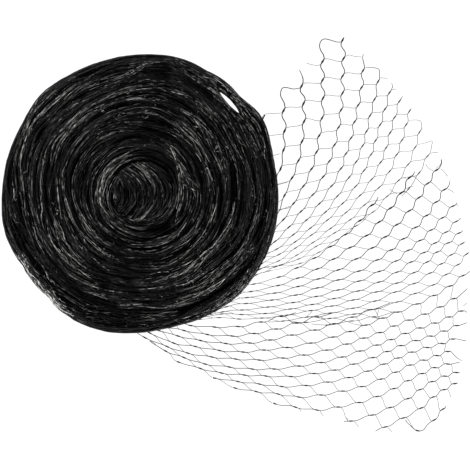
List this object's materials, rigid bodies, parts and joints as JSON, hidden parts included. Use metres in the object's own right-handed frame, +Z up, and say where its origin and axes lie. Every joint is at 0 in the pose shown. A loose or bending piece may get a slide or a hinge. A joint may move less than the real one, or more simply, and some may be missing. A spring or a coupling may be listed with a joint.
{
  "type": "bird netting roll",
  "caption": "Wound roll of black extruded bird netting lying on its end face, with its free end fanned out beside it.",
  "frame": {"origin": "on the roll's axis, in the flat underside that it lies on", "axes": "+Z up along the roll's axis; +X towards the free end, which fans out from +Y round to -Y"},
  "size_m": [0.4723, 0.3968, 0.07],
  "materials": {
    "wound_net": "black extruded polypropylene, semi-gloss",
    "loose_net": "black extruded polypropylene, semi-gloss"
  },
  "bodies": {
    "root": {"net_roll": "wound_net", "loose_end": "loose_net"}
  },
  "joints": []
}
